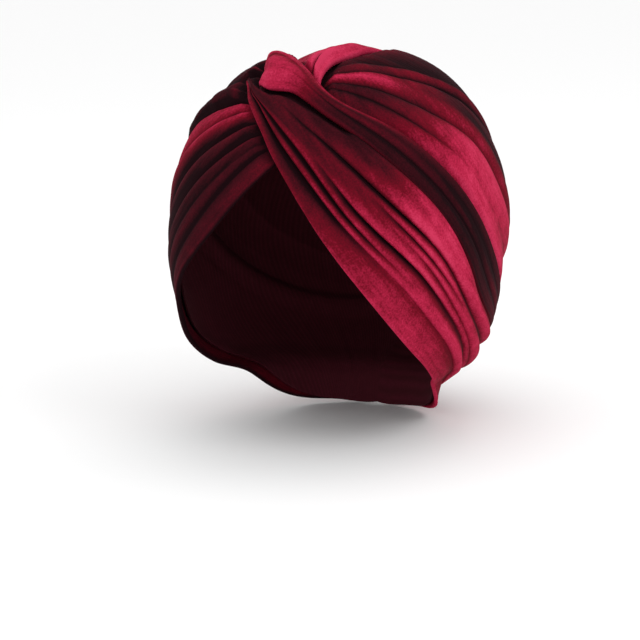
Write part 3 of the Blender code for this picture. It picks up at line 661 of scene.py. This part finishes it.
    def roll(self, radii, turned_in, edge, least):
        """Rolls an edge under and turns a width of cloth in behind it."""
        step = 1 if edge == 0 else -1
        rim, inner = self.points[edge], self.points[edge + 2 * step]
        towards = unit(rim - MIDDLE)
        outward = rim - inner
        outward = unit(outward - towards * (outward * towards).sum(-1, keepdims=True))
        rim_height = np.linalg.norm(rim - MIDDLE, axis=-1) - head_radius(towards)
        radii = np.clip(np.minimum(radii, (rim_height - least) / 2), LEAST_ROLL, None)
        rows, x = [], []
        for angle in np.radians(np.linspace(ROLL_FROM, ROLL_TO, ROLL_STEPS)):
            out, down = radii * math.sin(angle), radii * (1 - math.cos(angle))
            rows.append(rim + outward * out[:, None] - towards * down[:, None])
            x.append(radii * angle)
        last = rows[-1]
        depth = np.linalg.norm(last - MIDDLE, axis=-1) - head_radius(unit(last - MIDDLE))
        for share in np.linspace(1 / HEM_STEPS, 1, HEM_STEPS):
            way = unit(last - outward * turned_in * share - MIDDLE)
            rows.append(way * (head_radius(way) + np.maximum(depth, least))[:, None] + MIDDLE)
            x.append(radii * math.radians(ROLL_TO) + turned_in * share)
        rows, x = np.array(rows), np.array(x)
        # The pile on the turned-in side looks a little darker.
        pad = {name: getattr(self, name)[edge] for name in ("y", "depth", "pressed")}
        pad["nap"] = self.nap[edge] * 0.9 - 0.02
        if edge == 0:
            self.points = np.concatenate([rows[::-1], self.points])
            self.x = np.concatenate([self.x[0] - x[::-1], self.x])
        else:
            self.points = np.concatenate([self.points, rows])
            self.x = np.concatenate([self.x, self.x[-1] + x])
        for name, value in pad.items():
            block = np.broadcast_to(value, (len(rows), len(value)))
            whole = (block, getattr(self, name)) if edge == 0 else (getattr(self, name), block)
            setattr(self, name, np.concatenate(whole))


def near(values, reach, choose):
    """The chosen value, such as the least, of each value and those up to reach steps away on the grid."""
    rows, columns = values.shape
    padded = np.pad(values, reach, mode="edge")
    shifts = range(2 * reach + 1)
    return choose([padded[i : i + rows, j : j + columns] for i in shifts for j in shifts], axis=0)


def grid_faces(rows, columns, sewn_end=False):
    """The four-cornered faces of a grid. If its end is sewn, the two halves of its last column are joined."""
    index = np.arange(rows * columns).reshape(rows, columns)
    if sewn_end:
        index[rows // 2 + 1 :, -1] = index[rows // 2 - 1 :: -1, -1][: rows - rows // 2 - 1]
    return np.stack([index[:-1, :-1], index[:-1, 1:], index[1:, 1:], index[1:, :-1]], axis=-1).reshape(-1, 4)


def pile_painted_light(cloth, side):
    """How light the pile looks at each point: its own lay with painted light and shade. It has painted shade
    in creases, in hollows and under other cloth, and painted light on ridges and on slopes that face the
    lower edge, where side is 1, or the upper edge, where side is -1."""
    settings = bpy.context.scene.turban_cloth
    relative = cloth.points - MIDDLE
    height = np.linalg.norm(relative, axis=-1) - head_radius(unit(relative))
    slope = np.gradient(height, axis=0) / np.maximum(np.gradient(cloth.x, axis=0), 0.3 * MM)
    crest_painted_light = (height - across(height, CREST_REACH)) / MM
    return (
        cloth.nap
        - settings.shade * (cloth.depth + np.maximum(cloth.pressed - UNSHADED, 0)) / MM
        + settings.slope_painted_light * side * across(np.clip(slope, -1, 1), 1)
        + settings.crest_painted_light * np.clip(crest_painted_light, -CREST_MOST, CREST_MOST)
    )


def across(values, reach):
    """The mean of each value and its neighbours up to reach rows away."""
    padded = np.pad(values, ((reach, reach), (0, 0)), mode="edge")
    return np.mean([padded[i : i + len(values)] for i in range(2 * reach + 1)], axis=0)


def cloth_object(name, cloth, side, sewn_end=False):
    """The mesh object of a length of cloth, with its pile's lightness, which holds painted light and shade,
    and a map that follows the cloth.
    """
    rows, columns = cloth.x.shape
    faces = grid_faces(rows, columns, sewn_end)
    points = cloth.points.reshape(-1, 3)
    used, faces = np.unique(faces, return_inverse=True)
    faces = faces.reshape(-1, 4)
    points = points[used]
    corner = points[faces]
    normals = np.cross(corner[:, 2] - corner[:, 0], corner[:, 3] - corner[:, 1])
    if (normals * (corner.mean(axis=1) - MIDDLE)).sum() < 0:
        faces = faces[:, ::-1]
    mesh = bpy.data.meshes.new(name)
    mesh.from_pydata(points.tolist(), [], faces.tolist())
    # The pile attribute is painted light and shade of the folds over the pile's own lay.
    nap = np.clip(pile_painted_light(cloth, side), DARKEST, LIGHTEST).reshape(-1)[used]
    pile = mesh.attributes.new("pile", "FLOAT", "POINT")
    pile.data.foreach_set("value", nap.astype(np.float32))
    spread = np.stack([cloth.y, cloth.x], axis=-1).reshape(-1, 2)[used]
    loops = np.empty(len(mesh.loops), np.int32)
    mesh.loops.foreach_get("vertex_index", loops)
    mesh.uv_layers.new(name="cloth").data.foreach_set("uv", spread[loops].astype(np.float32).reshape(-1))
    mesh.materials.append(velvet())
    mesh.materials.append(knit_backing())
    mesh.shade_smooth()
    piece = bpy.data.objects.new(name, mesh)
    bpy.context.scene.collection.objects.link(piece)
    wall = piece.modifiers.new("Cloth thickness", "SOLIDIFY")
    wall.thickness = bpy.context.scene.turban_cloth.thickness
    wall.offset = -1
    wall.use_rim = True
    wall.material_offset = 1
    return piece


# ----------------------------------------------------------------------
# Finishes


def linear(colour):
    """An sRGB hex colour as linear red, green, blue and alpha."""
    parts = [int(colour[i : i + 2], 16) / 255 for i in (1, 3, 5)]
    return tuple(p / 12.92 if p <= 0.04045 else ((p + 0.055) / 1.055) ** 2.4 for p in parts) + (1.0,)


def add_node(tree, kind, inputs, **settings):
    """Adds a node with its settings. An input takes a value, or a node and the output of it to link from."""
    node = tree.nodes.new(kind)
    for name, value in settings.items():
        setattr(node, name, value)
    for name, value in inputs.items():
        if isinstance(value, tuple) and isinstance(value[0], bpy.types.Node):
            tree.links.new(value[0].outputs[value[1]], node.inputs[name])
        else:
            node.inputs[name].default_value = value
    return node


def bare_material(name):
    """The material of that name, with no nodes yet."""
    material = bpy.data.materials.get(name) or bpy.data.materials.new(name)
    material.use_nodes = True
    material.node_tree.nodes.clear()
    return material


def velvet():
    """Crushed stretch velvet: a short dense pile. Its base colour is painted light and shade, read from the
    pile
    attribute: nearly black where painted shade falls and bright where it is painted lit, so its lightness
    follows the folds. The shader's sheen gives its ends a soft bright edge at grazing angles."""
    colours = bpy.context.scene.turban_colours
    material = bare_material("crushed_velvet")
    tree = material.node_tree
    place = add_node(tree, "ShaderNodeTexCoord", {})
    # The pile attribute: the pile's own lay with painted light and shade of the folds.
    pile = add_node(tree, "ShaderNodeAttribute", {}, attribute_name="pile")
    # Pile tufts, drawn 0.95 mm across because the real 0.2 mm is too fine to show.
    tufts = add_node(tree, "ShaderNodeTexNoise", {
        "Vector": (place, "Object"), "Scale": 1050.0, "Detail": 2.0, "Roughness": 0.6})
    # Patches 7 mm across where the pile is crushed another way.
    crush = add_node(tree, "ShaderNodeTexNoise", {
        "Vector": (place, "Object"), "Scale": 140.0, "Detail": 3.0, "Roughness": 0.55})
    # Streaks 2 mm wide and 20 mm long along the folds.
    stretch = add_node(tree, "ShaderNodeMapping", {"Vector": (place, "UV"), "Scale": (50.0, 480.0, 1.0)})
    streaks = add_node(tree, "ShaderNodeTexNoise", {
        "Vector": (stretch, "Vector"), "Scale": 1.0, "Detail": 2.0, "Roughness": 0.5})
    # All three are added to the pile's lightness, and show most where its painted light is brightest.
    contrast = add_node(tree, "ShaderNodeMath", {0: (pile, "Fac"), 1: 1.1, 2: 0.22},
                        operation="MULTIPLY_ADD", use_clamp=True)
    level = (pile, "Fac")
    for pattern, amount in ((tufts, 0.62), (crush, 0.36), (streaks, 0.30)):
        part = add_node(tree, "ShaderNodeMath", {0: (pattern, "Fac"), 1: amount, 2: -amount / 2},
                        operation="MULTIPLY_ADD")
        total = add_node(tree, "ShaderNodeMath", {0: (part, "Value"), 1: (contrast, "Value"), 2: level},
                         operation="MULTIPLY_ADD")
        level = (total, "Value")
    # The ramp gives lit and shaded copies of the velvet's colour: painted light and shade from deep to rose.
    ramp = add_node(tree, "ShaderNodeValToRGB", {"Fac": level})
    stops = ((0.0, colours.deep), (0.18, colours.maroon), (0.46, colours.crimson), (0.78, colours.raspberry),
             (1.0, colours.rose))
    while len(ramp.color_ramp.elements) < len(stops):
        ramp.color_ramp.elements.new(0.5)
    for element, (position, colour) in zip(ramp.color_ramp.elements, stops):
        element.position = position
        element.color = linear(colour)
    tufted = add_node(tree, "ShaderNodeBump", {
        "Height": (tufts, "Fac"), "Strength": 0.35, "Distance": 0.00025})
    streaked = add_node(tree, "ShaderNodeBump", {
        "Height": (streaks, "Fac"), "Normal": (tufted, "Normal"), "Strength": 0.5, "Distance": 0.0007})
    shader = add_node(tree, "ShaderNodeBsdfPrincipled", {
        "Base Color": (ramp, "Color"), "Normal": (streaked, "Normal"), "Roughness": 0.9,
        "Specular IOR Level": 0.04, "Sheen Weight": 0.06, "Sheen Roughness": 0.35,
        "Sheen Tint": linear(colours.sheen)})
    add_node(tree, "ShaderNodeOutputMaterial", {"Surface": (shader, "BSDF")})
    return material


def knit_backing():
    """The knitted back of the velvet: matte, with no pile. Its ribs are drawn 5 mm apart and its yarn 1.1 mm
    thick, because the real 0.8 mm and 0.2 mm are too fine to show."""
    colours = bpy.context.scene.turban_colours
    material = bare_material("knit_backing")
    tree = material.node_tree
    place = add_node(tree, "ShaderNodeTexCoord", {})
    ribs = add_node(tree, "ShaderNodeTexWave", {"Vector": (place, "UV"), "Scale": 62.0, "Distortion": 1.5},
                    wave_type="BANDS", bands_direction="Y")
    yarn = add_node(tree, "ShaderNodeTexNoise", {"Vector": (place, "Object"), "Scale": 900.0, "Detail": 2.0})
    knit = add_node(tree, "ShaderNodeMath", {0: (ribs, "Fac"), 1: (yarn, "Fac")}, operation="MULTIPLY")
    ramp = add_node(tree, "ShaderNodeValToRGB", {"Fac": (knit, "Value")})
    ramp.color_ramp.elements[0].color = linear(colours.maroon)
    ramp.color_ramp.elements[1].color = linear(colours.backing)
    bump = add_node(tree, "ShaderNodeBump", {"Height": (knit, "Value"), "Strength": 0.4, "Distance": 0.0003})
    shader = add_node(tree, "ShaderNodeBsdfPrincipled", {
        "Base Color": (ramp, "Color"), "Normal": (bump, "Normal"), "Roughness": 0.92,
        "Specular IOR Level": 0.2})
    add_node(tree, "ShaderNodeOutputMaterial", {"Surface": (shader, "BSDF")})
    return material


def studio_paper():
    """Background paper: matte and nearly white, so that only the soft shadow shows on it."""
    colour = linear(bpy.context.scene.turban_colours.floor)
    material = bare_material("studio_paper")
    shader = add_node(material.node_tree, "ShaderNodeBsdfPrincipled", {
        "Base Color": colour, "Roughness": 0.9, "Specular IOR Level": 0.1})
    add_node(material.node_tree, "ShaderNodeOutputMaterial", {"Surface": (shader, "BSDF")})
    return material


# ----------------------------------------------------------------------
# The pieces


def covers_of(names):
    """The outer sheets of the named pieces, for pressing what lies under them."""
    pieces = [bpy.data.objects[name + "_velvet"] for name in names]
    return [dict(points=[tuple(vertex.co) for vertex in piece.data.vertices],
                 faces=[tuple(face.vertices) for face in piece.data.polygons]) for piece in pieces]


def lay(name, rows, lines, places, read_at, along, seed, covers, side=1, ends=(0.35, 0.5), start=None):
    """Lays one length of cloth under the covers already there. side is 1 if its slopes are painted lighter
    towards its lower edge and -1 if towards its upper edge, ends say how wrinkled it is along its run and at
    its far end, and start is the reach and the height in mm of a round fold at its start."""
    settings = bpy.context.scene.turban_cloth
    cloth = Cloth(rows, lines, places, read_at, along, settings.spacing)
    cloth.wrinkle(settings.wrinkle, settings.wrinkle_width, seed, ends)
    if start:
        cloth.round_end(start[0] * MM, start[1] * MM)
    cloth.sink_end(SEAM_REACH, SEAM_DEPTH)
    cloth.place()
    low, low_in, high, high_in = ROLLS[name]
    low = curve_through(read_at, low, cloth.v) * MM
    high = curve_through(read_at, high, cloth.v) * MM
    cloth.draw_in(low, high)
    cloth.press(covers_of(covers), settings.thickness + settings.room, LEAST_HEIGHT + settings.thickness)
    cloth.roll(high, high_in * MM, -1, LEAST_HEIGHT)
    cloth.roll(low, low_in * MM, 0, LEAST_HEIGHT)
    return cloth_object(name + "_velvet", cloth, side)


def lay_wrap(name, rows, stations, places, read_at, side=1, **how):
    """Lays a length of cloth whose lines are crease lines down one side of the head."""
    gap = bpy.context.scene.turban_cloth.seam_gap
    lines = [crease_line(row, stations, side, gap) for row in rows]
    return lay(name, rows, lines, crease_places(stations, places), read_at, side=side, **how)


def deselect_all():
    """Leaves nothing selected, because an operator acts on all that is."""
    for each in bpy.context.selected_objects:
        each.select_set(False)


def finish_piece(piece, node):
    """Attaches the piece to the root body and hides the solid that it stands for."""
    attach(piece, "root")
    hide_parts(node)


class TURBAN_OT_twist_overfold(bpy.types.Operator):
    """The length that folds over the twist as a petal and runs down behind the left ear."""

    bl_idname = "turban.twist_overfold"
    bl_label = "Twist overfold"

    def execute(self, context):
        piece = lay_wrap("twist_overfold", OVERFOLD, FOLD_STATIONS, FOLD_PLACES, FOLD_AT, along=300, seed=11,
                         covers=(), ends=(0.3, 0.5), start=(9, 8.5))
        finish_piece(piece, "twist_overfold")
        return {"FINISHED"}


class TURBAN_OT_left_wrap(bpy.types.Operator):
    """The front length that crosses the forehead and covers the left ear."""

    bl_idname = "turban.left_wrap"
    bl_label = "Left wrap"

    def execute(self, context):
        piece = lay_wrap("left_wrap", LEFT_WRAP, WRAP_STATIONS, WRAP_PLACES, LEFT_AT, along=250, seed=23,
                         covers=("twist_overfold",))
        finish_piece(piece, "left_wrap")
        return {"FINISHED"}


class TURBAN_OT_right_wrap(bpy.types.Operator):
    """The front length that crosses the forehead and covers the right ear."""

    bl_idname = "turban.right_wrap"
    bl_label = "Right wrap"

    def execute(self, context):
        piece = lay_wrap("right_wrap", RIGHT_WRAP, RIGHT_STATIONS, RIGHT_PLACES, RIGHT_AT, along=240, seed=37,
                         covers=("twist_overfold", "left_wrap"), side=-1)
        finish_piece(piece, "right_wrap")
        return {"FINISHED"}


class TURBAN_OT_rear_loop(bpy.types.Operator):
    """The length that comes out behind the twist and fans out over the crown."""

    bl_idname = "turban.rear_loop"
    bl_label = "Rear loop"

    def execute(self, context):
        gap = context.scene.turban_cloth.seam_gap
        lines = [
            [direction(*place) for place in row["places"]] + [on_centre_back(row["seam"], -gap)]
            for row in REAR_LOOP
        ]
        piece = lay("rear_loop", REAR_LOOP, lines, LOOP_PLACES, LOOP_AT, along=230, seed=41,
                    covers=("twist_overfold", "left_wrap", "right_wrap"))
        finish_piece(piece, "rear_loop")
        return {"FINISHED"}


def middle_line(places):
    """The directions of the crown's middle line over the top of the head, with two more between each pair."""
    tops = [elevation if azimuth == 0 else 180 - elevation for azimuth, elevation in places[:-1]]
    tops = in_between(tops, len(tops))
    azimuth, elevation = places[-1]
    return [direction(0, top) for top in tops] + [direction(azimuth, elevation)]


class TURBAN_OT_crown_cap(bpy.types.Operator):
    """The gathered cap: from the left rim over the crown to the right rim, and from the twist to the nape."""

    bl_idname = "turban.crown_cap"
    bl_label = "Crown cap"

    def execute(self, context):
        settings = context.scene.turban_cloth
        rows = CROWN_LEFT + [MIDLINE] + CROWN_RIGHT
        count = len(rows) - 1
        lines = []
        for i, row in enumerate(rows):
            if row is MIDLINE:
                line = middle_line(row["places"]) + [on_centre_back(row["seam"], 0)]
            else:
                line = crease_line(row, CROWN_STATIONS, 1 if i < count / 2 else -1, 0)
            lines.append([around_knot(i / count)] + line)
        places = np.insert(crease_places(CROWN_STATIONS, CROWN_PLACES[1:]), 0, 0)
        spacing = CROWN_COARSENESS * settings.spacing
        cloth = Cloth(rows, lines, places, CROWN_AT, along=190, spacing=spacing, even=True)
        cloth.wrinkle(settings.wrinkle, settings.wrinkle_width, seed=53, ends=(0.3, 0.6))
        cloth.place()
        cloth.press(covers_of(("twist_overfold", "left_wrap", "right_wrap", "rear_loop")),
                    settings.thickness + settings.room, settings.thickness)
        piece = cloth_object("crown_cap_velvet", cloth, 1, sewn_end=True)
        finish_piece(piece, "crown_cap")
        return {"FINISHED"}


# The soft lights: how far each stands to the right of, above and in front of the head form's middle, as the
# camera sees it, and how wide it is, in metres.
LIGHTS = dict(key=((0.75, 0.75, 0.95), 0.7), fill=((-0.9, 0.25, 0.9), 0.9), top=((0.1, 1.1, -0.15), 0.8))
FLOOR_WIDTH = 30
FLOOR_GAP = 0.2 * MM


class TURBAN_OT_stage(bpy.types.Operator):
    """The camera, the pale floor and the soft studio light."""

    bl_idname = "turban.stage"
    bl_label = "Stage"

    def execute(self, context):
        scene, stage = context.scene, context.scene.turban_stage
        azimuth, elevation, roll = stage.azimuth, stage.elevation, stage.roll
        back = Vector((math.sin(azimuth) * math.cos(elevation), -math.cos(azimuth) * math.cos(elevation),
                       math.sin(elevation)))
        level = Vector((math.cos(azimuth), math.sin(azimuth), 0))
        upright = back.cross(level)
        right = math.cos(roll) * level - math.sin(roll) * upright
        up = math.sin(roll) * level + math.cos(roll) * upright
        target = Vector(MIDDLE)
        camera = bpy.data.objects.new("camera", bpy.data.cameras.new("camera"))
        scene.collection.objects.link(camera)
        camera.matrix_world = Matrix.Translation(target + back * stage.distance) @ Matrix(
            (right, up, back)).transposed().to_4x4()
        camera.data.lens = stage.lens
        camera.data.sensor_width = 36
        camera.data.clip_start = 0.05
        camera.data.shift_x, camera.data.shift_y = stage.shift
        scene.camera = camera

        floor_height = min(CAD_BOX[0][2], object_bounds()[0][2]) - FLOOR_GAP
        deselect_all()
        bpy.ops.mesh.primitive_plane_add(size=FLOOR_WIDTH, location=(0, 0, floor_height))
        floor = context.active_object
        floor.name = "studio_floor"
        floor.data.materials.append(studio_paper())
        floor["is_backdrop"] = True

        for name, (place, width) in LIGHTS.items():
            light = bpy.data.lights.new(name + "_light", "AREA")
            light.shape = "DISK"
            light.size = width
            light.energy = getattr(stage, name)
            lamp = bpy.data.objects.new(name + "_light", light)
            scene.collection.objects.link(lamp)
            lamp.location = target + right * place[0] + up * place[1] + back * place[2]
            lamp.rotation_euler = (target - lamp.location).to_track_quat("-Z", "Y").to_euler()
        world = bpy.data.worlds.new("studio_air")
        world.use_nodes = True
        world.node_tree.nodes["Background"].inputs["Color"].default_value = linear("#FFFFFF")
        world.node_tree.nodes["Background"].inputs["Strength"].default_value = stage.air
        scene.world = world
        scene.view_settings.view_transform = "Standard"
        return {"FINISHED"}


class TURBAN_PT_panel(bpy.types.Panel):
    """The turban's sizes and the steps that make it."""

    bl_label = "Turban cap"
    bl_idname = "TURBAN_PT_panel"
    bl_space_type = "VIEW_3D"
    bl_region_type = "UI"
    bl_category = "Turban"

    def draw(self, context):
        for group in (context.scene.turban_cloth, context.scene.turban_colours, context.scene.turban_stage):
            box = self.layout.box()
            for name in group.__annotations__:
                box.prop(group, name)
        for step in STEPS:
            self.layout.operator(step.bl_idname)


GROUPS = dict(turban_cloth=TurbanCloth, turban_colours=TurbanColours, turban_stage=TurbanStage)
STEPS = (
    TURBAN_OT_twist_overfold, TURBAN_OT_left_wrap, TURBAN_OT_right_wrap, TURBAN_OT_rear_loop,
    TURBAN_OT_crown_cap, TURBAN_OT_stage,
)


def register():
    for each in (*GROUPS.values(), *STEPS, TURBAN_PT_panel):
        bpy.utils.register_class(each)
    for name, group in GROUPS.items():
        setattr(bpy.types.Scene, name, bpy.props.PointerProperty(type=group))


def unregister():
    for name in GROUPS:
        delattr(bpy.types.Scene, name)
    for each in (TURBAN_PT_panel, *reversed(STEPS), *reversed(GROUPS.values())):
        bpy.utils.unregister_class(each)


def main():
    register()
    bpy.ops.turban.twist_overfold()
    bpy.ops.turban.left_wrap()
    bpy.ops.turban.right_wrap()
    bpy.ops.turban.rear_loop()
    bpy.ops.turban.crown_cap()
    bpy.ops.turban.stage()


if __name__ == "__main__":
    main()
